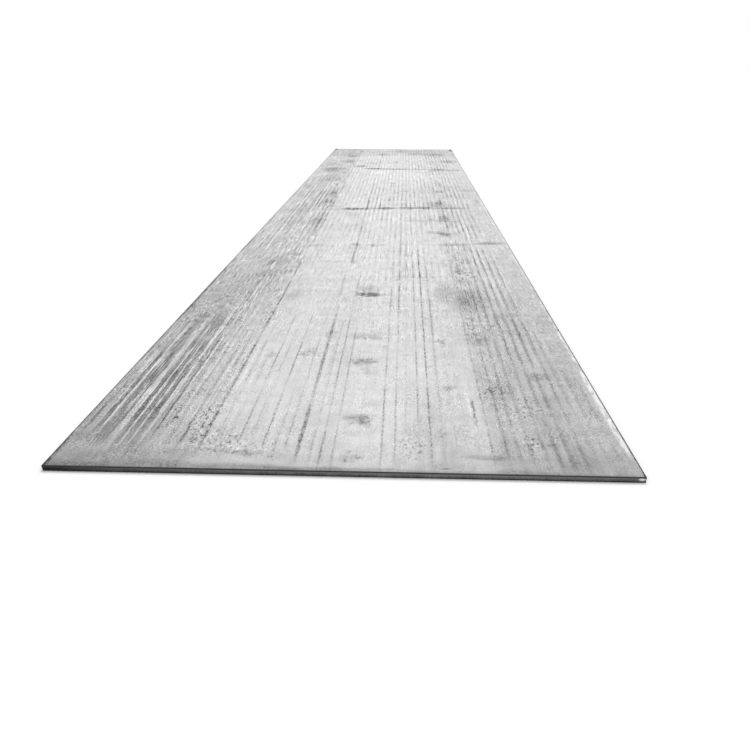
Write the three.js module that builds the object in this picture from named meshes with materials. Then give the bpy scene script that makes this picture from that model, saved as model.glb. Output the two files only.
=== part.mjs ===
// Hot-rolled steel plate, cut to size on a shear.
//
// One flat piece of stock in millimetres, +Z up. It lies on its underside, with the origin at
// the centre of that face, its length along Y and its width along X.
//
// All four sides have the section that a shear leaves, from the top down:
//   rollover   the top arris, drawn down into a soft curve as the blade enters
//   burnish    an upright band that the blade rubs smooth, and the widest part of the plate
//   fracture   the lower band, torn apart, dished and leaning in towards the underside
//   burr       a low lip at the foot of the tear, flush with the underside

import * as THREE from 'three';

// Driving dimensions, in millimetres.
const plateLength = 12000;
const plateWidth = 2000;
const plateThickness = 20;
const cornerRadius = 2; // the worn corners, seen from above

const rolloverReach = 2.2; // how far in from the side the top face starts to fall
const rolloverDrop = 1.5; // how far it has fallen where it meets the burnish
const burnishHeight = 6;
const fractureLean = 1.4; // the clearance between the blades, taken up by the tear
const fractureDish = 0.3; // how far the tear is hollowed behind a straight slope
const burrHeight = 0.6;
const burrLip = 0.4; // how far the burr stands out from the foot of the tear

// Facets in each curve.
const cornerSegments = 4;
const rolloverSegments = 6;
const fractureSegments = 5;

// The section of a side, from the underside up. Each entry is one level of the plate: its
// height, and how far it lies in from the widest outline.
function shearedSection() {
  const burnishTop = plateThickness - rolloverDrop;
  const burnishFoot = burnishTop - burnishHeight;
  const levels = [{ height: 0, inset: fractureLean - burrLip }];
  for (let i = 0; i <= fractureSegments; i++) {
    const t = i / fractureSegments;
    const slope = fractureLean * (1 - t);
    const dish = fractureDish * 4 * t * (1 - t);
    levels.push({ height: THREE.MathUtils.lerp(burrHeight, burnishFoot, t), inset: slope + dish });
  }
  for (let i = 0; i <= rolloverSegments; i++) {
    const angle = (Math.PI / 2) * (i / rolloverSegments);
    levels.push({
      height: burnishTop + rolloverDrop * Math.sin(angle),
      inset: rolloverReach * (1 - Math.cos(angle)),
    });
  }
  return levels;
}

// The plate's outline at one level, seen from above and anticlockwise, with rounded corners.
function outlineAt(inset) {
  const arcCentreX = plateWidth / 2 - inset - cornerRadius;
  const arcCentreY = plateLength / 2 - inset - cornerRadius;
  const corners = [
    [arcCentreX, arcCentreY],
    [-arcCentreX, arcCentreY],
    [-arcCentreX, -arcCentreY],
    [arcCentreX, -arcCentreY],
  ];
  const points = [];
  corners.forEach(([x, y], quarter) => {
    for (let i = 0; i <= cornerSegments; i++) {
      const angle = (Math.PI / 2) * (quarter + i / cornerSegments);
      const reach = new THREE.Vector2(cornerRadius, 0).rotateAround(new THREE.Vector2(), angle);
      points.push(new THREE.Vector2(x, y).add(reach));
    }
  });
  return points;
}

// A closed solid lofted through the outline at every level, with a flat face at each end.
function loftLevels(levels) {
  const outlines = levels.map(({ inset }) => outlineAt(inset));
  const ring = outlines[0].length;
  const positions = [];
  outlines.forEach((outline, level) => {
    outline.forEach((point) => positions.push(point.x, point.y, levels[level].height));
  });

  const triangles = [];
  for (let level = 0; level < levels.length - 1; level++) {
    for (let i = 0; i < ring; i++) {
      const lower = level * ring + i;
      const lowerNext = level * ring + ((i + 1) % ring);
      triangles.push(lower, lowerNext, lowerNext + ring);
      triangles.push(lower, lowerNext + ring, lower + ring);
    }
  }

  const top = (levels.length - 1) * ring;
  THREE.ShapeUtils.triangulateShape(outlines[0], []).forEach(([a, b, c]) => triangles.push(a, c, b));
  THREE.ShapeUtils.triangulateShape(outlines[levels.length - 1], []).forEach(([a, b, c]) => {
    triangles.push(top + a, top + b, top + c);
  });

  const geometry = new THREE.BufferGeometry();
  geometry.setAttribute('position', new THREE.Float32BufferAttribute(positions, 3));
  geometry.setIndex(triangles);
  geometry.computeVertexNormals();
  return geometry;
}

const millScaledSteel = new THREE.MeshStandardMaterial({
  color: 0xa9abad,
  roughness: 0.55,
  metalness: 0.6,
  flatShading: true,
});

const plate = new THREE.Mesh(loftLevels(shearedSection()), millScaledSteel);
plate.name = 'plate';

const steelPlate = new THREE.Group();
steelPlate.add(plate);

export default steelPlate;
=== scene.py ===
from functools import partial
from math import cos, pi, radians, sin

import bmesh
import bpy
from mathutils import Matrix, Vector


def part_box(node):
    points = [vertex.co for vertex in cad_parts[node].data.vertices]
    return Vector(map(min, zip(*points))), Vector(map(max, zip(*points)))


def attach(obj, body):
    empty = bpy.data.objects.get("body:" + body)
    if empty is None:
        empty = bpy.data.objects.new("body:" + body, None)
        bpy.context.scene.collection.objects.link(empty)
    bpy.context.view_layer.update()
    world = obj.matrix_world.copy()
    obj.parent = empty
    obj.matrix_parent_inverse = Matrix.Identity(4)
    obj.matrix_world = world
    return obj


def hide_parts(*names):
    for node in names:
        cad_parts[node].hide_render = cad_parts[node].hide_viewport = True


# A hot-rolled steel plate, sheared to size on all four sides, lying on a studio floor.
# Everything is in metres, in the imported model's own frame: X across the plate, Y along it, Z up.

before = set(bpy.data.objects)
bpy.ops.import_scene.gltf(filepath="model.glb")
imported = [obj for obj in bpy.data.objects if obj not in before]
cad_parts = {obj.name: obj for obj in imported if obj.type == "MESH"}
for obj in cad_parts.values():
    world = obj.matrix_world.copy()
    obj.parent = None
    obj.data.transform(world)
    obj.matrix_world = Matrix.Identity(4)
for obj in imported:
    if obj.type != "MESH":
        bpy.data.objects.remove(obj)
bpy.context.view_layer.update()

MM = 0.001

# The plate's outline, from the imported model.
low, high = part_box("plate")
WIDTH = high.x - low.x
LENGTH = high.y - low.y
THICKNESS = high.z - low.z

# The sheared section, as the solid has it.
CORNER_RADIUS = 2 * MM
ROLLOVER_REACH = 2.2 * MM
ROLLOVER_DROP = 1.5 * MM
BURNISH_HEIGHT = 6 * MM
TEAR_LEAN = 1.4 * MM
TEAR_DISH = 0.3 * MM
BURR_HEIGHT = 0.6 * MM
BURR_LIP = 0.4 * MM
BURNISH_TOP = THICKNESS - ROLLOVER_DROP
BURNISH_FOOT = BURNISH_TOP - BURNISH_HEIGHT

# How finely the plate is meshed.
SHEET_CELL = 100 * MM
RIM_STEP = 10 * MM
SMOOTH_ANGLE = 32
CORNER_SEGMENTS = 4
TEAR_SEGMENTS = 6
ROLLOVER_SEGMENTS = 6
ARRIS_STRIP = 6 * MM  # the strip of the top face in which a nick in the arris runs out

# The shear's irregularity.
TEAR_ROUGHNESS = 0.5 * MM
TEAR_WAVE = 2.4 * MM  # how far the foot of the burnish wanders, from crest to trough
NICK_DEPTH = 0.9 * MM

# The camera stands 2.4 m behind the near end and looks along the plate. Angles are in degrees.
CAMERA_PLACE = Vector((0.1935, -8.3515, 1.2472))
CAMERA_DOWN = 20.635
CAMERA_TURN = 1.973
CAMERA_ROLL = 0.2375
CAMERA_LENS = 38.463
CAMERA_SENSOR = 36.0

# Light: an even dome, and one broad soft lamp from beyond the far end.
DOME_LEVEL = 0.62
LAMP_LEVEL = 0.42  # what the lamp adds to a white level surface
LAMP_HEIGHT = 58.0
LAMP_TURN = -12.0
LAMP_SOFTNESS = 40.0
FLOOR_SIDE = 240.0
FLOOR_COLOUR = "#E7E7E7"
WHITE = "#FFFFFF"


def colour(code):
    """An sRGB hex colour as linear RGBA."""
    channels = [int(code[i:i + 2], 16) / 255 for i in (1, 3, 5)]
    linear = [c / 12.92 if c <= 0.04045 else ((c + 0.055) / 1.055) ** 2.4 for c in channels]
    return (*linear, 1.0)


def add_node(tree, kind, inputs=None, **settings):
    """Adds a node. An input takes a value, a socket, or a node whose first output is linked."""
    node = tree.nodes.new(kind)
    for name, value in settings.items():
        setattr(node, name, value)
    for socket, value in (inputs or {}).items():
        if isinstance(value, bpy.types.Node):
            value = value.outputs[0]
        if isinstance(value, bpy.types.NodeSocket):
            tree.links.new(value, node.inputs[socket])
        else:
            node.inputs[socket].default_value = value
    return node


def new_material(name):
    """An empty node material, and the function that adds nodes to it."""
    material = bpy.data.materials.new(name)
    material.use_nodes = True
    material.node_tree.nodes.clear()
    return material, partial(add_node, material.node_tree)


# ============ Patterns ============

# A smooth step stays between its levels without being clamped. Cycles makes each clamp a node of
# its own, and with hundreds of marks these would overflow the shader's stack.
SMOOTH = {"interpolation_type": "SMOOTHSTEP", "clamp": False}
ONWARD_SEED = 50.0  # from the seed of a shift across to that of its shift along


def add_up(node, total, layers):
    """total plus every pattern times its strength."""
    for pattern, strength in layers:
        total = node("ShaderNodeMath", {0: pattern, 1: strength, 2: total}, operation="MULTIPLY_ADD")
    return total


def multiply(node, patterns):
    """The product of some patterns."""
    total = patterns[0]
    for pattern in patterns[1:]:
        total = node("ShaderNodeMath", {0: total, 1: pattern}, operation="MULTIPLY")
    return total


def plate_place(node):
    """Object coordinates with Y counted from the near end."""
    object_place = node("ShaderNodeTexCoord").outputs["Object"]
    return node("ShaderNodeVectorMath", {0: object_place, 1: (0, LENGTH / 2, 0)}, operation="ADD")


def mottle(node, place, cell, seed):
    """Soft noise from 0 to 1. cell is how far it takes to change, across and along the plate.

    Each seed takes it from a part of the noise of its own.
    """
    across, along = cell
    cells = node(
        "ShaderNodeVectorMath",
        {0: place, 1: (1 / across, 1 / along, 0), 2: (seed, 1.7 * seed, 0)},
        operation="MULTIPLY_ADD",
    )
    return node(
        "ShaderNodeTexNoise", {"Vector": cells, "Scale": 1.0, "Detail": 2.0}, noise_dimensions="2D"
    )


def patches(node, place, cell, seed, edge, levels=(0.0, 1.0)):
    """Noise cut into patches: the first level where it is low, the second where it is high."""
    return node(
        "ShaderNodeMapRange",
        {0: mottle(node, place, cell, seed), 1: edge[0], 2: edge[1], 3: levels[0], 4: levels[1]},
        **SMOOTH,
    )


def shifted(node, place, noises):
    """place moved about by noise. Each noise is its cell, its seed and its reach in X and Y."""
    for cell, seed, reach in noises:
        aside = add_up(node, -0.5, [(mottle(node, place, cell, seed), 1.0)])
        onward = 0.0
        if reach[1]:
            onward = add_up(node, -0.5, [(mottle(node, place, cell, seed + ONWARD_SEED), 1.0)])
        move = node("ShaderNodeCombineXYZ", {"X": aside, "Y": onward})
        place = node(
            "ShaderNodeVectorMath", {0: move, 1: (*reach, 0), 2: place}, operation="MULTIPLY_ADD"
        )
    return place


def marks(node, place, rows, core, blunt=1):
    """The sum of soft oval marks. Each row is its centre, its half sizes and its darkness.

    core is the share of a mark that is fully dark. A blunt mark keeps its width along the plate
    until shortly before it ends.
    """
    total = 0.0
    for x, y, half_across, half_along, darkness in rows:
        oval = node(
            "ShaderNodeVectorMath",
            {
                0: place,
                1: (1 / half_across, 1 / half_along, 0),
                2: (-x / half_across, -y / half_along, 0),
            },
            operation="MULTIPLY_ADD",
        )
        if blunt > 1:
            oval = node("ShaderNodeVectorMath", {0: oval}, operation="ABSOLUTE")
            oval = node("ShaderNodeVectorMath", {0: oval, 1: (1, blunt, 1)}, operation="POWER")
        reach = node("ShaderNodeVectorMath", {0: oval}, operation="LENGTH").outputs["Value"]
        mark = node(
            "ShaderNodeMapRange",
            {0: reach, 1: 1.0, 2: core, 3: 0.0, 4: darkness},
            **SMOOTH,
        )
        total = node("ShaderNodeMath", {0: mark, 1: total}, operation="ADD")
    return total


def streak_rows(lines):
    """Marks for long lines, given as place across, start and end along, half width and darkness."""
    return [
        (across, (start + end) / 2, half_width, (end - start) / 2, darkness)
        for across, start, end, half_width, darkness in lines
    ]


def profile(node, place, stops):
    """A level that changes with place, a single coordinate. Each stop is a place and its level."""
    start, end = stops[0][0], stops[-1][0]
    share = node("ShaderNodeMapRange", {0: place, 1: start, 2: end})
    ramp = node("ShaderNodeValToRGB", {0: share})
    elements = ramp.color_ramp.elements
    for stop, _ in stops[1:-1]:
        elements.new((stop - start) / (end - start))
    for element, (stop, level) in zip(elements, stops):
        element.color = (level, level, level, 1)
    return ramp


# ============ Mill scale ============

# The skin's colour at tone 1 and tone 0, and the tone of its plain middle. Below, a darkness of 0.1
# takes 0.1 from the tone, and every place along is counted from the near end.
SCALE_PALE = "#F2F2F2"
SCALE_DARK = "#2E2E2E"
FIELD_TONE = 0.735

# How much duller than the middle the skin is, from the left side to the right, at the near end and
# at the far end: place, dulling. It steps where the rows of water sprays end.
NEAR_DULLING = (
    (-1.00, 0.30), (-0.93, 0.25), (-0.72, 0.26), (-0.69, 0.22), (-0.60, 0.19), (-0.52, 0.15),
    (-0.50, 0.07), (-0.35, 0.02), (0.00, 0.02), (0.25, 0.03), (0.35, 0.06), (0.49, 0.08),
    (0.54, 0.19), (0.60, 0.21), (0.83, 0.25), (0.87, 0.22), (1.00, 0.20),
)
FAR_DULLING = (
    (-1.00, 0.14), (-0.52, 0.15), (-0.49, 0.05), (-0.35, 0.02), (0.00, 0.00), (0.30, 0.01),
    (0.48, 0.04), (0.52, 0.11), (0.68, 0.10), (0.82, 0.10), (0.86, 0.09), (1.00, 0.09),
)
NEAR_TO_FAR = (1.5, 4.5)
# And from the near end to the far end.
LENGTH_DULLING = (
    (0.0, 0.20), (0.15, 0.13), (0.5, 0.07), (1.0, 0.05), (2.0, 0.07), (3.0, 0.06), (4.0, 0.06),
    (5.5, 0.07), (6.5, 0.09), (7.6, 0.04), (8.8, 0.03), (9.5, 0.05), (10.72, 0.05), (10.86, 0.13),
    (11.3, 0.16), (12.0, 0.16),
)

# Clouding of the skin: cell across and along, seed and strength.
CLOUDS = (
    ((0.500, 1.400), 1.0, 0.14),
    ((0.120, 0.350), 2.0, 0.16),
    ((0.350, 0.070), 3.0, 0.10),
    ((0.050, 0.080), 5.0, 0.16),
    ((0.007, 0.250), 4.0, 0.08),
)
# Its grain, which comes in crackled patches and is rubbed smooth behind the near end. Grain this fine
# would not show far off, so coarser, streakier grain takes over, from and to a place along the plate.
GRAIN = (((0.014, 0.040), 6.0, 0.24), ((0.006, 0.012), 9.0, 0.72))
NEAR_GRAIN_SHARE = (
    (0.00, 0.45), (0.06, 0.45), (0.24, 0.80), (0.50, 1.00), (1.20, 1.00), (2.20, 1.50), (3.60, 0.50),
    (12.00, 0.10),
)
FAR_GRAIN = (
    ((0.006, 0.050), 43.0, 0.48, (0.7, 1.7), (3.4, 2.2)),
    ((0.008, 0.170), 40.0, 0.50, (0.8, 2.4), (5.5, 3.5)),
    ((0.011, 0.110), 7.0, 0.32, (1.4, 3.0), (7.5, 3.5)),
    ((0.010, 0.300), 42.0, 0.54, (1.8, 3.5)),
    ((0.020, 0.550), 8.0, 0.46, (3.0, 6.0)),
    ((0.400, 0.300), 14.0, 0.12, (2.5, 6.0)),
)
# Its patches are noise, as all patches below: cell across and along, seed, the noise at which the
# first level ends and at which the second starts, and the levels.
CRACKLE = ((0.11, 0.17), 34.0, (0.42, 0.60), (0.62, 1.45))
# How much stronger it is towards the sides: place across, share.
GRAIN_SHARE = (
    (-1.00, 1.05), (-0.75, 1.05), (-0.70, 1.25), (-0.52, 1.25), (-0.48, 0.65), (0.48, 0.65),
    (0.52, 0.90), (0.84, 0.65), (1.00, 0.65),
)
# The finest grain also stands out as a bump of this strength and depth.
GRAIN_BUMP = 0.42
GRAIN_RELIEF = 0.25 * MM

# Roughness at a dark and at a pale tone: tone, roughness. The pale skin is rubbed smoother.
DARK_ROUGHNESS = (0.3, 0.62)
PALE_ROUGHNESS = (0.9, 0.46)
# The tone of the drawn-down arris, painted dark as shade on the rounded edge.
ARRIS_PAINTED_SHADE_TONE = 0.02

# How the drawn lines wander: broadly, in kinks, and as a jagged edge. Rows of cell, seed and reach.
LINE_WANDER = (
    ((4.0, 1.6), 3.1, (0.010, 0)),
    ((0.5, 0.13), 3.9, (0.004, 0)),
    ((0.010, 0.018), 5.3, (0.008, 0)),
)
# And how ragged the edges of smudges and of pitted patches are.
RAGGED_EDGE = (((0.045, 0.070), 15.0, (0.09, 0.08)), ((0.012, 0.020), 16.0, (0.02, 0.03)))

# The rolls' scrapers draw a line every 43 mm or so, counted from this one.
FIRST_LINE = 0.130
PITCH_LEFT = 0.0425
PITCH_RIGHT = 0.04375
LINE_DARKNESS = 0.32
# A line's half width in pitches, between two places along. Near, it is a hair. Far off it is drawn
# wider, because a hair would not show.
LINE_WIDENING = (0.5, 6.0)
LINE_HALF_WIDTH = (0.14, 0.26)
# The gap between two lines is paler: from and to, in pitches from the line, and its strength.
LINE_GAP = (0.28, 0.5)
GAP_STRENGTH = -0.60
# Towards the sides all lines fade to this share, between two places either side of the middle.
LINES_END = (0.82, 0.88)
BEYOND_SHARE = 0.15
# Each line comes and goes on its own, and it is beaded.
LINE_PRESENCE = (((0.03, 2.0), 11.0, (0.06, 1.6)),)
LINE_STRENGTH = ((0.03, 0.9), 11.5, (0.34, 0.60), (0.35, 1.15))
LONG_BEADS = ((0.020, 0.200), 12.0, (0.30, 0.66), (0.35, 1.25))
SHORT_BEADS = ((0.012, 0.030), 12.5, (0.30, 0.62), (0.35, 1.30))
# Where they show, over a faint presence everywhere: across, along, half sizes, presence.
FAINT_PRESENCE = (0.14, 0.36)  # near and far
COMBED = [
    (-0.66, 1.30, 0.10, 1.50, 0.40),
    (-0.50, 0.80, 0.12, 0.65, 0.30),
    (0.23, 2.90, 0.17, 1.20, 0.50),
    (0.70, 5.20, 0.22, 2.20, 0.35),
    (0.10, 5.60, 0.36, 1.80, 0.42),
    (0.15, 7.20, 0.75, 2.40, 0.30),
    (0.30, 9.60, 0.28, 1.40, 0.26),
    (0.68, 9.50, 0.22, 2.60, 0.34),
    (-0.30, 2.60, 0.26, 1.20, -0.20),
    (-0.86, 4.00, 0.14, 3.00, -0.30),
    (-0.60, 5.60, 0.13, 2.00, 0.45),
    (0.75, 3.90, 0.30, 0.28, -0.70),
    (0.00, 3.72, 0.60, 0.10, -0.30),
]

# The lines that stand out: across, from, to, half width, darkness. Some are pale. These are broken
# into beads ...
BEADS = ((0.010, 0.024), 13.0, (0.36, 0.62), (0.40, 1.25))
BEADED_LINES = [
    (-0.700, 0.20, 1.65, 0.007, 0.14),
    (-0.703, 1.50, 3.40, 0.008, 0.18),
    (-0.662, 0.30, 1.85, 0.011, 0.15),
    (-0.630, 0.15, 1.60, 0.006, 0.08),
    (-0.585, 0.14, 1.35, 0.007, 0.15),
    (-0.585, 0.20, 0.46, 0.009, 0.09),
    (-0.555, 0.95, 1.75, 0.009, 0.08),
    (-0.545, 3.90, 6.60, 0.012, 0.12),
    (-0.510, 0.05, 2.00, 0.010, 0.23),
    (-0.510, 1.10, 2.10, 0.009, 0.10),
    (-0.510, 1.90, 3.15, 0.008, 0.24),
    (-0.380, 0.17, 1.85, 0.006, 0.22),
    (-0.342, 0.20, 1.60, 0.006, 0.10),
    (-0.289, 0.12, 1.90, 0.006, 0.26),
    (-0.245, 0.00, 0.80, 0.006, 0.12),
    (-0.208, 0.10, 1.60, 0.006, 0.12),
    (-0.115, 0.00, 1.70, 0.007, 0.12),
    (-0.080, -0.10, 1.95, 0.006, 0.21),
    (-0.080, 1.90, 3.10, 0.006, 0.12),
    (-0.038, -0.10, 1.60, 0.006, 0.16),
    (0.129, -0.20, 2.50, 0.006, 0.22),
    (0.176, 0.00, 3.30, 0.006, 0.17),
    (0.215, 0.30, 1.00, 0.005, 0.08),
    (0.263, 0.35, 3.30, 0.006, 0.20),
    (0.305, 0.00, 3.70, 0.006, 0.25),
    (0.479, 0.36, 0.64, 0.007, 0.28),
    (0.466, 0.45, 0.66, 0.006, -0.14),
    (0.517, 0.00, 1.95, 0.006, 0.14),
    (0.517, 2.55, 3.30, 0.006, 0.14),
    (0.568, 0.00, 1.90, 0.009, 0.12),
    (0.568, 2.50, 3.60, 0.009, 0.12),
    (0.607, 0.00, 3.60, 0.009, 0.10),
    (0.826, -0.10, 3.66, 0.013, 0.11),
    (-0.688, 0.30, 4.00, 0.007, -0.15),
    (-0.646, 0.50, 2.05, 0.008, -0.12),
]
# ... and these are rubbed wide and run on.
RUBS = ((0.012, 0.030), 17.0, (0.28, 0.62), (0.55, 1.20))
RUBBED_LINES = [
    (-0.162, 0.02, 2.05, 0.011, 0.30),
    (-0.177, 1.90, 2.95, 0.009, 0.17),
    (-0.158, 2.95, 4.25, 0.013, 0.24),
    (-0.160, 4.20, 5.30, 0.013, 0.22),
    (-0.160, 5.35, 6.05, 0.016, 0.30),
    (-0.160, 6.10, 7.50, 0.013, 0.18),
    (-0.158, 7.70, 8.30, 0.013, 0.14),
    (-0.158, 8.70, 10.10, 0.015, 0.24),
    (-0.158, 10.50, 11.20, 0.016, 0.24),
    (0.176, 3.00, 6.80, 0.011, 0.10),
    (0.348, 0.00, 1.40, 0.009, 0.09),
    (0.350, 1.30, 3.10, 0.008, 0.17),
    (0.568, 3.40, 5.40, 0.010, 0.07),
    (0.648, -0.10, 1.10, 0.011, 0.07),
    (0.649, 1.00, 3.40, 0.013, 0.12),
    (0.648, 4.15, 5.40, 0.011, 0.08),
    (0.697, -0.10, 1.10, 0.012, 0.07),
    (0.698, 1.00, 3.62, 0.014, 0.14),
    (0.693, 4.25, 5.45, 0.012, 0.12),
    (0.739, -0.10, 1.10, 0.012, 0.09),
    (0.740, 1.00, 3.64, 0.014, 0.15),
    (0.737, 4.10, 5.50, 0.012, 0.12),
    (0.778, -0.10, 1.10, 0.011, 0.10),
    (0.783, 1.00, 3.68, 0.014, 0.16),
    (0.780, 4.05, 5.35, 0.012, 0.14),
    (0.820, 4.15, 5.80, 0.013, 0.12),
    (0.716, 2.30, 6.20, 0.013, -0.09),
    (0.757, 2.30, 6.00, 0.012, -0.07),
    (0.800, 2.60, 5.40, 0.009, -0.05),
    (0.843, 1.10, 4.60, 0.007, -0.07),
    (0.495, 4.90, 5.45, 0.010, -0.12),
    (0.864, 0.08, 1.60, 0.012, 0.06),
    (0.904, 0.05, 1.40, 0.012, 0.06),
    (0.946, 0.10, 1.20, 0.010, 0.06),
    (0.885, 0.20, 1.90, 0.009, -0.05),
    (-0.962, 4.10, 7.20, 0.008, -0.12),
    (-0.934, 3.40, 5.30, 0.007, -0.11),
    (-0.906, 3.60, 6.40, 0.009, -0.13),
    (-0.871, 4.30, 7.60, 0.009, -0.10),
    (-0.830, 3.30, 7.10, 0.011, -0.14),
    (-0.793, 4.40, 6.30, 0.008, -0.09),
    (-0.758, 4.90, 7.40, 0.010, -0.10),
    (-0.690, 4.70, 7.40, 0.010, -0.12),
    (-0.660, 5.60, 7.60, 0.010, -0.11),
    (-0.628, 5.00, 7.60, 0.010, -0.11),
    (-0.888, 3.50, 6.20, 0.007, 0.08),
    (-0.849, 3.30, 6.80, 0.008, 0.09),
    (-0.811, 3.60, 6.90, 0.008, 0.08),
    (-0.776, 4.60, 7.20, 0.009, 0.06),
    (-0.708, 4.90, 7.20, 0.007, 0.09),
    (-0.675, 4.90, 7.20, 0.006, 0.08),
]
# Lines along both arrises: a dark one at the left, and at the right a pale one inside a dark one.
# They are chipped. The two that run the whole length at the very edges are painted shade along the
# arrises; the shorter ones are marks.
CHIPS = ((0.014, 0.060), 35.0, (0.34, 0.62), (0.35, 1.25))
ARRIS_LINES_AND_PAINTED_SHADE = [
    (-0.998, -1.0, 13.0, 0.007, 0.27),
    (-0.993, -0.30, 0.25, 0.014, 0.15),
    (-0.993, 1.70, 2.95, 0.012, 0.30),
    (-0.993, 3.40, 5.20, 0.011, 0.14),
    (0.985, 0.10, 1.02, 0.012, -0.27),
    (0.974, 0.20, 0.94, 0.007, -0.12),
    (0.987, 1.08, 1.60, 0.011, -0.24),
    (0.989, 1.45, 2.20, 0.009, -0.13),
    (0.988, 2.20, 6.20, 0.008, -0.13),
    (0.998, -1.0, 13.0, 0.005, 0.36),
]

# All lines fade together where something lay across them, and where the clamp of the shear rubbed
# the near end: place along, share.
LINE_FADES = ((0.300, 0.380), 18.0, (0.36, 0.56), (0.45, 1.20))
LINE_SHARE = ((0.00, 0.15), (0.04, 0.40), (0.12, 1.00), (12.00, 1.00))

# How wide and how dull a band the clamp left behind the near end. Its width changes from one place
# across to the other, and patches make it uneven. It is dull up to a share of its width.
CLAMP_ACROSS = (-1.0, 0.1)
CLAMP_WIDTH = (0.085, 0.034)
CLAMP_UNEVEN = ((0.25, 0.40), 37.0, (0.2, 0.8), (0.6, 1.4))
CLAMP_CORE = 0.3
# Place across, dulling.
CLAMP_BAND = (
    (-1.00, 0.06), (-0.80, 0.09), (-0.50, 0.13), (-0.30, 0.24), (0.02, 0.26), (0.14, 0.16),
    (0.50, 0.10), (1.00, 0.06),
)

# Dull bands near the left side, with pale ones between them, frayed at their ends: across, from, to,
# half width, darkness.
FRAYED_BANDS = [
    (-0.966, 0.28, 0.80, 0.006, 0.16),
    (-0.922, 0.26, 1.18, 0.010, 0.25),
    (-0.922, 1.12, 1.66, 0.007, 0.14),
    (-0.907, 0.30, 1.72, 0.008, -0.15),
    (-0.877, 0.14, 1.14, 0.028, 0.20),
    (-0.880, 1.06, 1.85, 0.028, 0.15),
    (-0.868, 0.44, 0.80, 0.005, -0.18),
    (-0.838, 0.20, 1.72, 0.011, -0.12),
    (-0.813, 0.12, 1.36, 0.012, 0.22),
    (-0.798, 0.18, 1.30, 0.005, -0.20),
    (-0.799, 1.38, 1.66, 0.006, -0.15),
    (-0.782, 0.08, 1.34, 0.014, 0.22),
    (-0.766, 0.18, 1.26, 0.005, -0.20),
    (-0.765, 1.40, 1.62, 0.005, -0.13),
    (-0.750, 0.08, 1.34, 0.015, 0.22),
    (-0.780, 1.26, 1.78, 0.045, 0.16),
    (-0.729, 0.18, 2.10, 0.008, -0.15),
    (-0.713, 0.20, 1.90, 0.006, 0.10),
    (-0.700, 0.16, 1.45, 0.005, 0.24),
]
# They begin between two places along, from a share of their strength.
BANDS_BEGIN = (0.03, 0.45)
BANDS_BEGIN_SHARE = 0.12
# Their ends fray in long splinters, and their edges are jagged.
BAND_FRAY = (
    ((0.006, 0.60), 24.0, (0, 0.36)),
    ((0.005, 0.12), 26.0, (0.012, 0)),
    ((0.030, 0.040), 25.0, (0.010, 0)),
)
BAND_BREAKS = ((0.007, 0.026), 29.0, (0.32, 0.58), (0.66, 1.18))
# They are rubbed smooth: where a band is this dark, this much of the grain is left.
BAND_SMOOTH = (0.02, 0.14)
BAND_GRAIN = 0.50
# The whole stretch is scored along the plate as well: across, along, half sizes, strength.
DARK_SCORES = ((0.006, 0.20), 23.0, (0.54, 0.62), (0.0, 0.12))
PALE_SCORES = ((0.005, 0.40), 27.0, (0.55, 0.62), (0.0, 0.22))
SCORED = [(-0.870, 1.05, 0.220, 1.05, 1.0), (-0.640, 1.20, 0.160, 1.40, 0.6)]

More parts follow.
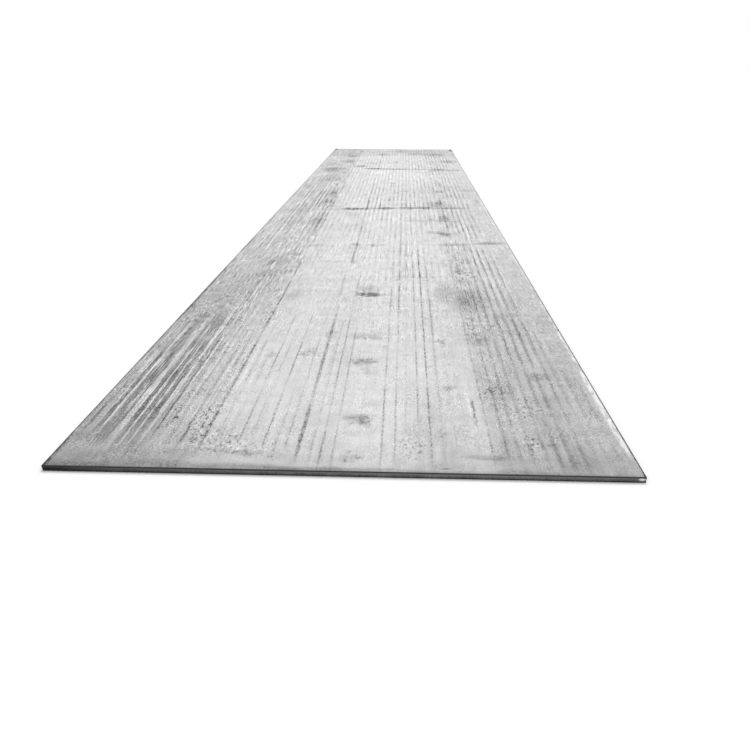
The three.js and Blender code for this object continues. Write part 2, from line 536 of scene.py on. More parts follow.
# Smudges left by packing and by standing water: across, along, half sizes, darkness. They and the
# bearers' marks are mottled.
MOTTLING = ((0.036, 0.026), 19.0, (0.25, 0.75), (0.65, 1.30))
SMUDGES = [
    (0.040, 0.425, 0.075, 0.075, 0.34),
    (0.030, 0.100, 0.060, 0.080, 0.14),
    (0.030, 1.075, 0.085, 0.080, 0.28),
    (0.050, 0.960, 0.050, 0.070, 0.10),
    (0.010, 1.450, 0.110, 0.070, 0.22),
    (0.000, 2.250, 0.130, 0.065, 0.42),
    (-0.010, 2.370, 0.095, 0.170, 0.20),
    (-0.230, 1.190, 0.080, 0.090, 0.13),
    (-0.160, 1.480, 0.060, 0.120, 0.18),
    (-0.400, 1.150, 0.035, 0.050, 0.14),
    (-0.664, 0.400, 0.014, 0.022, 0.50),
    (0.400, 0.760, 0.050, 0.060, 0.14),
    (0.385, 1.380, 0.035, 0.070, 0.24),
    (0.560, 1.420, 0.090, 0.130, 0.12),
    (-0.602, 0.130, 0.016, 0.016, 0.30),
    (-0.566, 0.136, 0.026, 0.012, 0.18),
    (0.570, 2.850, 0.040, 0.100, 0.16),
    (0.780, 0.910, 0.070, 0.090, 0.10),
    (0.600, 0.760, 0.090, 0.080, 0.06),
    (0.440, 2.350, 0.080, 0.330, 0.12),
    (-0.460, 2.200, 0.080, 0.180, 0.12),
    (-0.720, 2.720, 0.060, 0.120, 0.12),
    (-0.165, 3.720, 0.050, 0.060, 0.26),
    (-0.030, 3.700, 0.040, 0.070, 0.30),
    (0.040, 3.720, 0.035, 0.060, 0.20),
    (-0.460, 3.680, 0.070, 0.080, 0.14),
    (-0.660, 3.120, 0.120, 0.220, 0.12),
    (-0.602, 3.270, 0.011, 0.110, -0.30),
    (-0.585, 3.250, 0.011, 0.200, 0.16),
    (-0.568, 3.250, 0.008, 0.090, -0.20),
    (-0.765, 3.770, 0.012, 0.045, -0.22),
    (-0.790, 3.790, 0.014, 0.050, 0.18),
    (-0.602, 4.040, 0.011, 0.070, -0.22),
    (-0.682, 4.120, 0.014, 0.060, -0.26),
    (-0.725, 4.300, 0.013, 0.070, -0.22),
    (-0.680, 4.460, 0.012, 0.110, -0.26),
    (-0.642, 4.510, 0.011, 0.130, -0.24),
    (-0.620, 4.450, 0.011, 0.120, 0.16),
    (-0.600, 4.520, 0.010, 0.090, -0.18),
    (-0.725, 5.040, 0.014, 0.080, -0.28),
    (-0.684, 5.000, 0.012, 0.090, -0.24),
    (-0.590, 3.350, 0.070, 0.120, 0.14),
    (0.460, 4.250, 0.110, 0.110, 0.24),
    (0.530, 4.170, 0.070, 0.170, 0.24),
    (-0.560, 4.740, 0.090, 0.260, 0.18),
    (-0.640, 4.680, 0.080, 0.200, 0.10),
    (-0.770, 4.800, 0.120, 0.550, 0.10),
    (0.560, 4.950, 0.065, 0.300, 0.24),
    (0.600, 4.600, 0.060, 0.220, 0.14),
    (0.440, 4.870, 0.030, 0.120, 0.18),
    (-0.600, 5.950, 0.090, 0.260, 0.18),
    (-0.510, 5.700, 0.030, 0.200, 0.18),
    (-0.780, 5.450, 0.170, 0.450, 0.10),
    (0.490, 5.780, 0.130, 0.280, 0.18),
    (0.553, 5.870, 0.045, 0.200, 0.20),
    (-0.600, 6.500, 0.140, 0.400, 0.11),
    (-0.720, 7.850, 0.180, 0.520, 0.10),
    (0.060, 7.400, 0.035, 0.120, 0.26),
    (0.600, 7.300, 0.050, 0.250, 0.14),
    (0.200, 6.700, 0.060, 0.080, 0.16),
    (0.580, 6.700, 0.120, 0.100, 0.16),
    (0.900, 6.800, 0.130, 0.120, 0.14),
    (-0.740, 8.800, 0.230, 0.420, 0.22),
    (-0.860, 9.500, 0.120, 0.400, 0.10),
    (-0.420, 9.240, 0.120, 0.170, 0.34),
    (-0.250, 9.650, 0.160, 0.300, 0.10),
    (0.075, 9.850, 0.045, 0.220, 0.22),
    (0.850, 9.950, 0.200, 0.340, 0.20),
    (-0.640, 9.850, 0.190, 0.300, 0.17),
    (-0.490, 9.700, 0.035, 0.350, -0.14),
    (-0.720, 10.25, 0.030, 0.250, -0.14),
    (0.535, 9.450, 0.020, 0.300, -0.14),
    (0.460, 9.700, 0.060, 0.250, -0.08),
    (-0.110, 8.500, 0.080, 0.450, -0.08),
    (-0.840, 8.350, 0.060, 0.250, -0.08),
    (-0.640, 10.72, 0.150, 0.260, 0.22),
    (-0.150, 11.00, 0.160, 0.200, 0.22),
    (0.380, 11.12, 0.200, 0.260, 0.18),
    (0.160, 11.60, 0.280, 0.350, 0.16),
    (0.430, 11.55, 0.160, 0.300, 0.10),
    (0.680, 10.95, 0.240, 0.400, 0.16),
    (-0.840, 11.50, 0.180, 0.600, -0.07),
    (-0.985, 11.88, 0.045, 0.200, 0.70),
    (0.985, 11.82, 0.050, 0.260, 0.70),
]

# Bars across the plate where the bearers of a stack lay: across, along, half sizes, darkness.
BEARER_MARKS = [
    (-0.345, 0.128, 0.100, 0.028, 0.17),
    (-0.470, 0.142, 0.100, 0.022, 0.08),
    (0.490, 0.122, 0.120, 0.030, 0.14),
    (0.350, 0.032, 0.030, 0.009, 0.16),
    (0.300, 2.710, 0.260, 0.030, 0.08),
    (-0.330, 3.140, 0.160, 0.030, 0.09),
    (-0.910, 3.130, 0.090, 0.020, -0.20),
    (0.560, 3.740, 0.160, 0.050, 0.22),
    (0.700, 3.790, 0.300, 0.040, 0.14),
    (0.870, 3.835, 0.150, 0.065, 0.22),
    (0.020, 4.870, 0.140, 0.045, 0.13),
    (0.300, 4.820, 0.160, 0.055, 0.12),
    (0.620, 4.790, 0.090, 0.055, 0.16),
    (-0.280, 5.110, 0.090, 0.030, 0.12),
    (-0.280, 5.210, 0.090, 0.030, 0.12),
    (-0.530, 5.400, 0.180, 0.060, 0.12),
    (-0.300, 5.450, 0.150, 0.105, 0.50),
    (-0.130, 5.480, 0.160, 0.080, 0.28),
    (0.035, 5.500, 0.115, 0.120, 0.44),
    (0.240, 5.520, 0.130, 0.110, 0.40),
    (0.400, 5.540, 0.130, 0.120, 0.34),
    (0.650, 5.540, 0.220, 0.075, 0.24),
    (-0.240, 8.950, 0.160, 0.120, 0.48),
    (-0.050, 8.920, 0.180, 0.120, 0.32),
    (0.150, 8.910, 0.160, 0.120, 0.34),
    (0.380, 8.900, 0.200, 0.120, 0.22),
    (0.650, 8.880, 0.150, 0.190, 0.26),
    (0.840, 8.800, 0.160, 0.160, 0.18),
]
# Bearers bend a little, and so do their marks.
BEARER_WAVE = (((0.14, 0.50), 46.0, (0, 0.020)),)
# Broad stains with no edge, in the same terms. The pale ones are rubbed.
BROAD_STAINS = [
    (0.310, 0.300, 0.200, 0.850, 0.08),
    (-0.905, 0.440, 0.090, 0.280, -0.10),
    (0.920, 0.450, 0.100, 0.300, 0.07),
    (0.780, 1.250, 0.110, 0.450, -0.06),
    (0.780, 2.500, 0.120, 0.700, -0.07),
    (0.565, 2.160, 0.170, 0.340, 0.21),
    (0.540, 2.100, 0.240, 0.500, 0.07),
    (0.400, 4.850, 0.160, 0.260, 0.08),
    (0.580, 5.750, 0.140, 0.450, 0.07),
    (-0.760, 9.100, 0.240, 0.700, 0.06),
    (-0.860, 2.350, 0.220, 0.800, 0.08),
]

# Dark pits and bright flecks. From one place along to another they are drawn coarser, because such
# fine ones would not show far off.
COARSE_PITS = (0.6, 1.5)
NEAR_PITS = ((0.013, 0.026), 21.0, (0.52, 0.70), (0.0, 0.29))
NEAR_FLECKS = ((0.012, 0.024), 33.0, (0.53, 0.69), (0.0, 0.15))
FAR_PITS = ((0.021, 0.050), 22.0, (0.50, 0.68), (0.0, 0.24))
FAR_FLECKS = ((0.020, 0.046), 31.0, (0.50, 0.68), (0.0, 0.20))
# Where they are: across, along, half sizes, strength.
PITTED_PATCHES = [
    (0.930, 1.400, 0.100, 1.500, 0.4),
    (-0.800, 4.300, 0.260, 1.600, 0.5),
    (0.900, 4.600, 0.120, 1.800, 0.5),
    (-0.962, 0.950, 0.038, 0.720, 0.7),
    (-0.545, 0.360, 0.055, 0.260, 1.2),
    (-0.545, 0.830, 0.045, 0.160, 0.9),
    (-0.440, 0.220, 0.130, 0.160, 1.0),
    (-0.300, 0.150, 0.160, 0.110, 0.6),
    (0.030, 0.100, 0.060, 0.080, 0.6),
    (0.240, 0.170, 0.075, 0.140, 0.9),
    (0.477, 0.500, 0.022, 0.140, 1.0),
    (0.400, 0.300, 0.120, 0.160, 0.5),
    (0.240, 0.750, 0.025, 0.050, 1.0),
    (0.390, 0.760, 0.060, 0.080, 0.7),
    (0.560, 0.740, 0.080, 0.110, 0.7),
    (0.660, 0.240, 0.055, 0.080, 1.2),
    (0.730, 0.260, 0.060, 0.080, 0.4),
    (0.690, 0.560, 0.080, 0.200, 0.8),
    (0.800, 0.120, 0.080, 0.080, 0.3),
    (0.540, 0.850, 0.035, 0.200, 0.8),
    (0.610, 1.150, 0.070, 0.160, 0.8),
    (0.550, 1.640, 0.060, 0.280, 0.9),
    (0.630, 1.650, 0.050, 0.140, 0.8),
    (-0.400, 1.150, 0.050, 0.070, 1.0),
    (-0.240, 1.180, 0.070, 0.080, 0.9),
    (0.040, 1.090, 0.070, 0.070, 0.8),
    (0.200, 1.970, 0.050, 0.060, 0.8),
    (-0.880, 1.900, 0.160, 0.900, 0.4),
    (0.600, 2.760, 0.090, 0.320, 0.9),
    (0.580, 3.200, 0.085, 0.300, 0.9),
    (0.550, 4.150, 0.080, 0.260, 0.8),
]


def dulling(node, across, along):
    """How much duller than its plain middle the skin is here."""
    near = profile(node, across, NEAR_DULLING)
    far = profile(node, across, FAR_DULLING)
    far_share = node("ShaderNodeMapRange", {0: along, 1: NEAR_TO_FAR[0], 2: NEAR_TO_FAR[1]})
    sides = node("ShaderNodeMix", {"Factor": far_share, 2: near, 3: far})
    lengthwise = profile(node, along, LENGTH_DULLING)
    return node("ShaderNodeMath", {0: sides, 1: lengthwise}, operation="ADD")


def grain(node, place, layers):
    """Layers of soft noise about 0."""
    total = 0.0
    for cell, seed, strength, *fades in layers:
        noise = add_up(node, -0.5, [(mottle(node, place, cell, seed), 1.0)])
        for start, end in fades:
            along = node("ShaderNodeSeparateXYZ", {0: place}).outputs["Y"]
            share = node("ShaderNodeMapRange", {0: along, 1: start, 2: end})
            noise = multiply(node, [noise, share])
        total = add_up(node, total, [(noise, strength)])
    return total


def comb_lines(node, place, drawn_across, across, along):
    """The scrapers' lines with the paler gaps between them, each line coming and going on its own."""
    past_first = node("ShaderNodeMath", {0: drawn_across, 1: FIRST_LINE}, operation="SUBTRACT")
    leftward = node("ShaderNodeMath", {0: past_first, 1: 1 / PITCH_LEFT}, operation="MULTIPLY")
    rightward = node("ShaderNodeMath", {0: past_first, 1: 1 / PITCH_RIGHT}, operation="MULTIPLY")
    count = node("ShaderNodeMath", {0: leftward, 1: rightward}, operation="MINIMUM")
    off_line = node("ShaderNodeMath", {0: count, 1: 0.5}, operation="PINGPONG")

    start, end = LINE_WIDENING
    near_width, far_width = LINE_HALF_WIDTH
    half_width = node("ShaderNodeMapRange", {0: along, 1: start, 2: end, 3: near_width, 4: far_width})
    reach = node("ShaderNodeMath", {0: off_line, 1: half_width}, operation="DIVIDE")
    line = node("ShaderNodeMapRange", {0: reach, 1: 1.0, 2: 0.0}, **SMOOTH)
    gap = node("ShaderNodeMapRange", {0: off_line, 1: LINE_GAP[0], 2: LINE_GAP[1]}, **SMOOTH)
    lined = add_up(node, line, [(gap, GAP_STRENGTH)])

    # One number for each line, so that it varies as a whole.
    number = node("ShaderNodeMath", {0: count}, operation="ROUND")
    line_across = add_up(node, FIRST_LINE, [(number, PITCH_LEFT)])
    line_place = node("ShaderNodeCombineXYZ", {"X": line_across, "Y": along})
    line_place = shifted(node, line_place, LINE_PRESENCE)
    start, end = NEAR_TO_FAR
    near_share, far_share = FAINT_PRESENCE
    faint = node("ShaderNodeMapRange", {0: along, 1: start, 2: end, 3: near_share, 4: far_share})
    combed = marks(node, line_place, COMBED, core=0.4)
    presence = node("ShaderNodeMath", {0: combed, 1: faint}, operation="ADD", use_clamp=True)
    own_strength = patches(node, line_place, *LINE_STRENGTH)
    long_beads = patches(node, place, *LONG_BEADS)
    short_beads = patches(node, place, *SHORT_BEADS)
    beyond = node("ShaderNodeMath", {0: across}, operation="ABSOLUTE")
    start, end = LINES_END
    within = node("ShaderNodeMapRange", {0: beyond, 1: start, 2: end, 3: 1.0, 4: BEYOND_SHARE})
    return multiply(
        node, [lined, presence, own_strength, long_beads, short_beads, within, LINE_DARKNESS]
    )


def frayed_bands(node, place, along):
    """The dull and pale bands with frayed ends and jagged edges, and the fine scores among them."""
    frayed_place = shifted(node, place, BAND_FRAY)
    bands = marks(node, frayed_place, streak_rows(FRAYED_BANDS), core=0.85, blunt=4)
    broken = patches(node, place, *BAND_BREAKS)
    dark = patches(node, place, *DARK_SCORES)
    pale = patches(node, place, *PALE_SCORES)
    scores = node("ShaderNodeMath", {0: dark, 1: pale}, operation="SUBTRACT")
    scored = multiply(node, [scores, marks(node, place, SCORED, core=0.4)])
    start, end = BANDS_BEGIN
    begun = node("ShaderNodeMapRange", {0: along, 1: start, 2: end, 3: BANDS_BEGIN_SHARE, 4: 1.0})
    return multiply(node, [add_up(node, scored, [(bands, 1.0)]), broken, begun])


def pitting(node, place, along, ragged_place):
    """Dark pits and bright flecks side by side, inside their patches."""
    near_pits = patches(node, place, *NEAR_PITS)
    near_flecks = patches(node, place, *NEAR_FLECKS)
    far_pits = patches(node, place, *FAR_PITS)
    far_flecks = patches(node, place, *FAR_FLECKS)
    near = node("ShaderNodeMath", {0: near_pits, 1: near_flecks}, operation="SUBTRACT")
    far = node("ShaderNodeMath", {0: far_pits, 1: far_flecks}, operation="SUBTRACT")
    far_share = node("ShaderNodeMapRange", {0: along, 1: COARSE_PITS[0], 2: COARSE_PITS[1]})
    pitted = node("ShaderNodeMix", {"Factor": far_share, 2: near, 3: far})
    return multiply(node, [pitted, marks(node, ragged_place, PITTED_PATCHES, core=0.3)])


def clamp_band(node, place, across, along):
    """A smooth dull band behind the near end, where the shear's clamp bore, widest at the left."""
    start, end = CLAMP_ACROSS
    left_width, right_width = CLAMP_WIDTH
    width = node("ShaderNodeMapRange", {0: across, 1: start, 2: end, 3: left_width, 4: right_width})
    uneven = patches(node, place, *CLAMP_UNEVEN)
    share = node("ShaderNodeMath", {0: along, 1: multiply(node, [width, uneven])}, operation="DIVIDE")
    band = node("ShaderNodeMapRange", {0: share, 1: 1.0, 2: CLAMP_CORE}, **SMOOTH)
    return multiply(node, [band, profile(node, across, CLAMP_BAND)])


def lines_and_stains(node, place, across, along, bands):
    """All that darkens or brightens the marked skin, each as a pattern of darkness."""
    drawn_place = shifted(node, place, LINE_WANDER)
    drawn_across = node("ShaderNodeSeparateXYZ", {0: drawn_place}).outputs["X"]
    ragged_place = shifted(node, place, RAGGED_EDGE)
    fades = patches(node, place, *LINE_FADES)
    fades = multiply(node, [fades, profile(node, along, LINE_SHARE)])
    beads = patches(node, place, *BEADS)
    beaded = marks(node, drawn_place, streak_rows(BEADED_LINES), core=0.2, blunt=8)
    beaded = multiply(node, [beaded, beads, fades])
    rubs = patches(node, place, *RUBS)
    rubbed = marks(node, drawn_place, streak_rows(RUBBED_LINES), core=0.2, blunt=8)
    rubbed = multiply(node, [rubbed, rubs, fades])
    mottled = patches(node, place, *MOTTLING)
    smudged = multiply(node, [marks(node, ragged_place, SMUDGES, core=0.25), mottled])
    bearer_place = shifted(node, drawn_place, BEARER_WAVE)
    pressed = multiply(node, [marks(node, bearer_place, BEARER_MARKS, core=0.3), mottled])
    stained = marks(node, drawn_place, BROAD_STAINS, core=0.0)
    chips = patches(node, place, *CHIPS)
    # The full-length dark lines at the very edges are painted shade along the arrises; the rest are
    # marks.
    arris = marks(node, drawn_place, streak_rows(ARRIS_LINES_AND_PAINTED_SHADE), core=0.3, blunt=8)
    arris = multiply(node, [arris, chips])
    return [
        dulling(node, drawn_across, along),
        multiply(node, [comb_lines(node, place, drawn_across, across, along), fades]),
        bands,
        pitting(node, place, along, ragged_place),
        beaded,
        rubbed,
        smudged,
        pressed,
        stained,
        arris,
        clamp_band(node, place, across, along),
    ]


def left_by_painted_arris_shade(node, across, along):
    """How much of the skin's tone is left towards the drawn-down arris, which is painted dark all
    round as shade.
    """
    beside_x = node("ShaderNodeMath", {0: across}, operation="ABSOLUTE")
    beside_x = node("ShaderNodeMath", {0: WIDTH / 2, 1: beside_x}, operation="SUBTRACT")
    beside_y = node("ShaderNodeMath", {0: along, 1: LENGTH / 2}, operation="PINGPONG")
    beside = node("ShaderNodeMath", {0: beside_x, 1: beside_y}, operation="MINIMUM")
    start, end = ROLLOVER_REACH, 3 * ROLLOVER_REACH
    return node("ShaderNodeMapRange", {0: beside, 1: start, 2: end, 3: ARRIS_PAINTED_SHADE_TONE, 4: 1.0})


def mill_scale(name, marked):
    """Hot-rolled mill scale: a thin, hard oxide skin, pale grey, with a dull sheen and fine grain.

    The marked skin has the lines drawn along the rolling, and the smudges of its time in a stack.
    """
    material, node = new_material(name)
    place = plate_place(node)
    axes = node("ShaderNodeSeparateXYZ", {0: place})
    across, along = axes.outputs["X"], axes.outputs["Y"]
    crackled = patches(node, place, *CRACKLE)
    fine = grain(node, place, GRAIN)
    coarse = grain(node, place, FAR_GRAIN)
    grained = add_up(node, coarse, [(fine, profile(node, along, NEAR_GRAIN_SHARE))])
    roughened = multiply(node, [crackled, profile(node, across, GRAIN_SHARE)])
    bands = frayed_bands(node, place, along) if marked else 0.0
    start, end = BAND_SMOOTH
    smooth = node("ShaderNodeMapRange", {0: bands, 1: start, 2: end, 3: 1.0, 4: BAND_GRAIN})
    tone = add_up(node, FIELD_TONE, [
        (grain(node, place, CLOUDS), 1.0),
        (grained, multiply(node, [roughened, smooth])),
    ])
    if marked:
        darkened = lines_and_stains(node, place, across, along, bands)
        tone = add_up(node, tone, [(pattern, -1.0) for pattern in darkened])
    # Painted shade: the rounded arris is darkened all round.
    tone = multiply(node, [tone, left_by_painted_arris_shade(node, across, along)])

    skin = node("ShaderNodeMix", {"Factor": tone}, data_type="RGBA")
    skin.inputs[6].default_value = colour(SCALE_DARK)
    skin.inputs[7].default_value = colour(SCALE_PALE)
    (dark, rough), (pale, smoother) = DARK_ROUGHNESS, PALE_ROUGHNESS
    gloss = node("ShaderNodeMapRange", {0: tone, 1: dark, 2: pale, 3: rough, 4: smoother})
    # Cycles works out whatever a bump reads three times more, so this one reads the grain alone.
    bump = node("ShaderNodeBump", {"Strength": GRAIN_BUMP, "Distance": GRAIN_RELIEF, "Height": fine})
    shader = node(
        "ShaderNodeBsdfPrincipled",
        {
            "Base Color": skin.outputs[2],
            "Metallic": 0.2,
            "Specular IOR Level": 0.25,
            "Roughness": gloss,
            "Normal": bump,
        },
    )
    node("ShaderNodeOutputMaterial", {"Surface": shader})
    return material


# ============ Sheared edges ============

# Each band's pale and dark colours, roughness and depth of its upright marks. The burnish is rubbed
# bright by the blade: paler and smoother, with shallow marks. The tear is coarse, matt and darker.
BURNISHED = ("#949494", "#686868", 0.42, 0.1 * MM)
TORN = ("#8E8E8E", "#5C5C5C", 0.75, 0.3 * MM)

# How dark the side is at each height, from the underside up: millimetres, share of its own colour.
# The foot of the tear and the drawn-down top are dark lines of painted shade: a painted shadow along
# the foot and painted shade below the arris.
SECTION_TONE_AND_PAINTED_SHADE = (
    (0.0, 0.04), (2.0, 0.06), (3.4, 0.30), (5.0, 0.86), (11.0, 0.94), (12.4, 0.80), (13.0, 1.0),
    (15.4, 1.0), (16.2, 0.45), (16.9, 0.06), (20.0, 0.04),
)
SHADE_WANDER = 4 * MM  # the room in which these heights wander

# Upright scratches, stretched along Z, and blotches. Cells of noise in a metre: 3 mm, which is as
# coarse as scratches have to be to show, and 56 mm. They show dark up to one product of the two, and
# pale from the other on.
SCRATCH_STRETCH = (1, 1, 0.2)
SCRATCH_SCALE = 320.0
BLOTCH_SCALE = 18.0
SCRATCH_TONES = (0.12, 0.42)

# On the near end: how stained it is, as place across and share, then marks as across, up, half
# sizes and strength.
STAIN = (
    (-1.00, 1.0), (-0.92, 0.92), (-0.86, 0.70), (-0.75, 0.54), (-0.45, 0.34), (-0.10, 0.16),
    (0.20, 0.0), (0.60, 0.0), (0.85, 0.12), (1.00, 0.16),
)
STAIN_COLOUR = "#0C0C0C"
CORNER_BLACK = [(-0.992, 0.010, 0.022, 0.016, 1.0)]
PAINT_DAB = [(0.985, 0.0115, 0.013, 0.0052, 1.0)]
PAINT_WHITE = "#E4E4E4"
MARK_EDGE = (((0.006, 0.006), 41.0, (0.008, 0.008)),)
# How far they go round its corners: in full up to the first, and gone at the second.
ROUND_CORNER = (0.02, 0.10)


def stained_end(node, axes, steel):
    """The steel's colour, which carries the painted shade lines, with the stain towards the near left
    corner and the paint at the right.
    """
    fades, gone = -LENGTH / 2 + ROUND_CORNER[0], -LENGTH / 2 + ROUND_CORNER[1]
    near_end = node("ShaderNodeMapRange", {0: axes.outputs["Y"], 1: gone, 2: fades})
    stain = profile(node, axes.outputs["X"], STAIN)
    end_place = node("ShaderNodeCombineXYZ", {"X": axes.outputs["X"], "Y": axes.outputs["Z"]})
    end_place = shifted(node, end_place, MARK_EDGE)
    black = marks(node, end_place, CORNER_BLACK, core=0.6)
    stain = node("ShaderNodeMath", {0: stain, 1: black}, operation="MAXIMUM")
    stain = multiply(node, [stain, near_end])
    stained = node("ShaderNodeMix", {"Factor": stain, 6: steel}, data_type="RGBA")
    stained.inputs[7].default_value = colour(STAIN_COLOUR)

    dab = multiply(node, [marks(node, end_place, PAINT_DAB, core=0.75), near_end])
    painted = node("ShaderNodeMix", {"Factor": dab, 6: stained.outputs[2]}, data_type="RGBA")
    painted.inputs[7].default_value = colour(PAINT_WHITE)
    return painted.outputs[2]


def sheared_edge(name, pale, dark, roughness, scratch_depth):
    """Bare steel on one band of the sheared side, with upright marks and stains, and dark lines of
    painted shade at its foot and below its top.
    """
    material, node = new_material(name)
    place = node("ShaderNodeTexCoord").outputs["Object"]
    axes = node("ShaderNodeSeparateXYZ", {0: place})
    upright = node("ShaderNodeVectorMath", {0: place, 1: SCRATCH_STRETCH}, operation="MULTIPLY")
    scratches = node("ShaderNodeTexNoise", {"Vector": upright, "Scale": SCRATCH_SCALE, "Detail": 3.0})
    blotches = node("ShaderNodeTexNoise", {"Vector": place, "Scale": BLOTCH_SCALE, "Detail": 3.0})
    start, end = SCRATCH_TONES
    scratched = multiply(node, [scratches, blotches])
    amount = node("ShaderNodeMapRange", {0: scratched, 1: start, 2: end})
    tint = node("ShaderNodeMix", {"Factor": amount}, data_type="RGBA")
    tint.inputs[6].default_value = colour(dark)
    tint.inputs[7].default_value = colour(pale)

    wander = add_up(node, axes.outputs["Z"], [(add_up(node, -0.5, [(blotches, 1.0)]), SHADE_WANDER)])
    # Painted shade: a dark line along the foot and another below the drawn-down top.
    tone_and_painted_shade = profile(node, wander, [(height * MM, share) for height, share in SECTION_TONE_AND_PAINTED_SHADE])
    banded_and_painted_shade = node(
        "ShaderNodeMix",
        {"Factor": 1.0, 6: tint.outputs[2], 7: tone_and_painted_shade},
        data_type="RGBA", blend_type="MULTIPLY",
    )
    painted = stained_end(node, axes, banded_and_painted_shade.outputs[2])

    bump = node("ShaderNodeBump", {"Strength": 0.8, "Distance": scratch_depth, "Height": scratches})
    shader = node(
        "ShaderNodeBsdfPrincipled",
        {"Base Color": painted, "Metallic": 0.2, "Roughness": roughness, "Normal": bump},
    )
    node("ShaderNodeOutputMaterial", {"Surface": shader})
    return material


# ============ The plate ============

def sheared_levels():
    """The section of a side from the underside up, as pairs of height and inset."""
    levels = [(0.0, TEAR_LEAN - BURR_LIP)]
    for i in range(TEAR_SEGMENTS + 1):
        share = i / TEAR_SEGMENTS
        height = BURR_HEIGHT + (BURNISH_FOOT - BURR_HEIGHT) * share
        dish = TEAR_DISH * 4 * share * (1 - share)
        levels.append((height, TEAR_LEAN * (1 - share) + dish))
    levels.append(((BURNISH_FOOT + BURNISH_TOP) / 2, 0.0))
    for i in range(ROLLOVER_SEGMENTS + 1):
        turn = pi / 2 * i / ROLLOVER_SEGMENTS
        levels.append((BURNISH_TOP + ROLLOVER_DROP * sin(turn), ROLLOVER_REACH * (1 - cos(turn))))
    return levels


def lay_underside(inset):
    """A flat sheet at the underside's outline, with worn corners and a finely divided rim."""
    bpy.ops.object.select_all(action="DESELECT")
    bpy.ops.mesh.primitive_grid_add(
        x_subdivisions=round(WIDTH / SHEET_CELL), y_subdivisions=round(LENGTH / SHEET_CELL), size=1
    )
    piece = bpy.context.object
    piece.name = "sheared_plate"
    bpy.ops.object.mode_set(mode="EDIT")
    bpy.ops.transform.resize(value=(WIDTH - 2 * inset, LENGTH - 2 * inset, 1))

    bpy.ops.mesh.select_mode(type="VERT")
    bpy.ops.mesh.select_all(action="DESELECT")
    sheet = bmesh.from_edit_mesh(piece.data)
    for vertex in sheet.verts:
        vertex.select_set(len(vertex.link_edges) == 2)
    sheet.select_flush_mode()
    bmesh.update_edit_mesh(piece.data)
    bpy.ops.mesh.bevel(affect="VERTICES", offset=CORNER_RADIUS, segments=CORNER_SEGMENTS)

    bpy.ops.mesh.select_mode(type="EDGE")
    bpy.ops.mesh.select_all(action="DESELECT")
    sheet = bmesh.from_edit_mesh(piece.data)
    for edge in sheet.edges:
        edge.select_set(edge.is_boundary and edge.calc_length() > CORNER_RADIUS)
    bmesh.update_edit_mesh(piece.data)
    bpy.ops.mesh.subdivide(number_cuts=round(SHEET_CELL / RIM_STEP) - 1)
    return piece


def raise_sides(levels):
    """Extrudes the whole sheet up through the section, drawing it in or out at each level."""
    bpy.ops.mesh.select_mode(type="FACE")
    bpy.ops.mesh.select_all(action="SELECT")
    for (height, inset), (next_height, next_inset) in zip(levels, levels[1:]):
        rise = (0, 0, next_height - height)
        narrower = (WIDTH / 2 - next_inset) / (WIDTH / 2 - inset)
        shorter = (LENGTH / 2 - next_inset) / (LENGTH / 2 - inset)
        bpy.ops.mesh.extrude_region_move(TRANSFORM_OT_translate={"value": rise})
        bpy.ops.transform.resize(value=(narrower, shorter, 1), center_override=(0, 0, next_height))
    bpy.ops.mesh.inset(thickness=ARRIS_STRIP)
    bpy.ops.mesh.select_all(action="SELECT")
    bpy.ops.mesh.normals_make_consistent(inside=False)
    bpy.ops.object.mode_set(mode="OBJECT")


def give_materials(piece, materials):
    """Marked mill scale on top and on the rollover, plain scale below, and the two shear bands."""
    marked_scale, burnish, tear, plain_scale = range(4)
    for material in materials:
        piece.data.materials.append(material)
    for face in piece.data.polygons:
        height = face.center.z
        if height > BURNISH_TOP:
            face.material_index = marked_scale
        elif face.normal.z < -0.9:
            face.material_index = plain_scale
        elif height > BURNISH_FOOT:
            face.material_index = burnish
        else:
            face.material_index = tear


def displace(piece, name, weight, noise_scale, strength, direction, mid_level=1.0, ramp=None):
    """Moves the vertices that weight picks by cloud noise. noise_scale is the size of its clouds."""
    group = piece.vertex_groups.new(name=name)
    for vertex in piece.data.vertices:
        share = weight(vertex.co)
        if share > 0:
            group.add([vertex.index], share, "REPLACE")
    texture = bpy.data.textures.new(name, type="CLOUDS")
    texture.noise_scale = noise_scale
    texture.noise_depth = 3
    if ramp:
        texture.use_color_ramp = True
        for element, (position, level) in zip(texture.color_ramp.elements, ramp):
            element.position = position
            element.color = (level, level, level, 1)
    modifier = piece.modifiers.new(name, "DISPLACE")
    modifier.texture = texture
    modifier.texture_coords = "LOCAL"
    modifier.vertex_group = name
    modifier.direction = direction
    modifier.mid_level = mid_level
    modifier.strength = strength
    bpy.context.view_layer.objects.active = piece
    bpy.ops.object.modifier_apply(modifier=name)


def roughen_shear(piece):
    """The foot of the burnish wanders, the tear is uneven, and the arris is nicked."""
    near = 0.1 * MM
    displace(
        piece, "burnish_foot", lambda co: float(abs(co.z - BURNISH_FOOT) < near),
        noise_scale=0.07, strength=TEAR_WAVE, direction="Z", mid_level=0.5,
    )
    displace(
        piece, "tear", lambda co: float(BURR_HEIGHT / 2 < co.z < BURNISH_FOOT - 2 * near),
        noise_scale=0.02, strength=TEAR_ROUGHNESS, direction="NORMAL",
    )

    def on_arris(co):
        beside = min(WIDTH / 2 - abs(co.x), LENGTH / 2 - abs(co.y))
        return float(co.z > BURNISH_TOP + near and beside < ROLLOVER_REACH + near)

    displace(
        piece, "nicks", on_arris,
        noise_scale=0.03, strength=NICK_DEPTH, direction="Z", ramp=((0.22, 0.0), (0.34, 1.0)),
    )


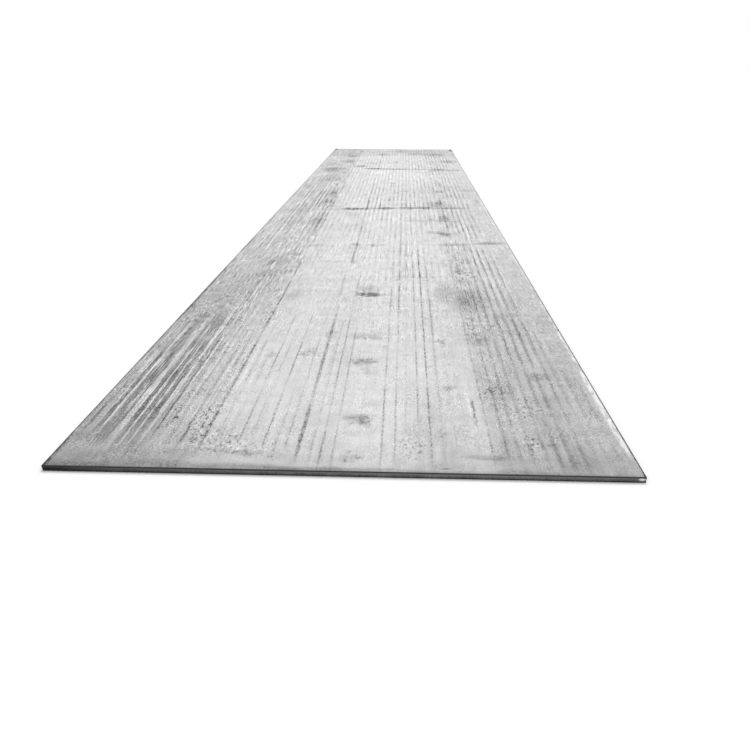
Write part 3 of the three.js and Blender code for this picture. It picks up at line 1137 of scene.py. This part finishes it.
def make_plate():
    levels = sheared_levels()
    piece = lay_underside(levels[0][1])
    raise_sides(levels)
    give_materials(
        piece,
        [
            mill_scale("hot-rolled mill scale", marked=True),
            sheared_edge("shear-burnished edge", *BURNISHED),
            sheared_edge("shear-torn edge", *TORN),
            mill_scale("plain mill scale", marked=False),
        ],
    )
    roughen_shear(piece)
    bpy.ops.object.select_all(action="DESELECT")
    piece.select_set(True)
    bpy.context.view_layer.objects.active = piece
    bpy.ops.object.shade_smooth_by_angle(angle=radians(SMOOTH_ANGLE))
    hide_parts("plate")
    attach(piece, "root")


# ============ The studio ============

def seen_directly(node):
    """1 for rays from the camera and for what gloss and glass show, 0 for light."""
    path = node("ShaderNodeLightPath")
    camera, glossy = path.outputs["Is Camera Ray"], path.outputs["Is Glossy Ray"]
    seen = node("ShaderNodeMath", {0: camera, 1: glossy}, operation="MAXIMUM")
    through_glass = path.outputs["Is Transmission Ray"]
    return node("ShaderNodeMath", {0: seen, 1: through_glass}, operation="MAXIMUM")


def make_floor():
    """A matt pale studio floor. It is seen as white, and it keeps the plate's shadow."""
    material, node = new_material("matt studio floor")
    tint = node("ShaderNodeMix", {"Factor": seen_directly(node)}, data_type="RGBA")
    tint.inputs[6].default_value = colour(FLOOR_COLOUR)
    tint.inputs[7].default_value = colour(WHITE)
    shader = node("ShaderNodeBsdfDiffuse", {"Color": tint.outputs[2]})
    node("ShaderNodeOutputMaterial", {"Surface": shader})
    bpy.ops.mesh.primitive_plane_add(size=FLOOR_SIDE)
    floor = bpy.context.object
    floor.name = "studio_floor"
    floor.data.materials.append(material)


def make_light():
    world = bpy.data.worlds.new("studio dome")
    bpy.context.scene.world = world
    world.use_nodes = True
    world.node_tree.nodes.clear()
    node = partial(add_node, world.node_tree)
    level = node("ShaderNodeMapRange", {0: seen_directly(node), 3: DOME_LEVEL, 4: 1.0})
    background = node("ShaderNodeBackground", {"Color": colour(WHITE), "Strength": level})
    node("ShaderNodeOutputWorld", {"Surface": background})

    lamp = bpy.data.lights.new("soft lamp", "SUN")
    lamp.energy = LAMP_LEVEL * pi / sin(radians(LAMP_HEIGHT))
    lamp.angle = radians(LAMP_SOFTNESS)
    holder = bpy.data.objects.new("soft_lamp", lamp)
    bpy.context.scene.collection.objects.link(holder)
    # A sun shines along its own -Z. Tipped back from the zenith, it shines towards the near end.
    holder.matrix_world = (
        Matrix.Rotation(radians(LAMP_TURN), 4, "Z")
        @ Matrix.Rotation(radians(LAMP_HEIGHT - 90), 4, "X")
    )


def make_camera():
    data = bpy.data.cameras.new("camera")
    data.sensor_width = CAMERA_SENSOR
    data.lens = CAMERA_LENS
    data.clip_end = FLOOR_SIDE
    camera = bpy.data.objects.new("camera", data)
    bpy.context.scene.collection.objects.link(camera)
    camera.matrix_world = (
        Matrix.Translation(CAMERA_PLACE)
        @ Matrix.Rotation(radians(CAMERA_TURN), 4, "Z")
        @ Matrix.Rotation(radians(90 - CAMERA_DOWN), 4, "X")
        @ Matrix.Rotation(radians(CAMERA_ROLL), 4, "Z")
    )
    bpy.context.scene.camera = camera


make_camera()
make_light()
make_floor()
make_plate()
bpy.context.scene.view_settings.view_transform = "Standard"
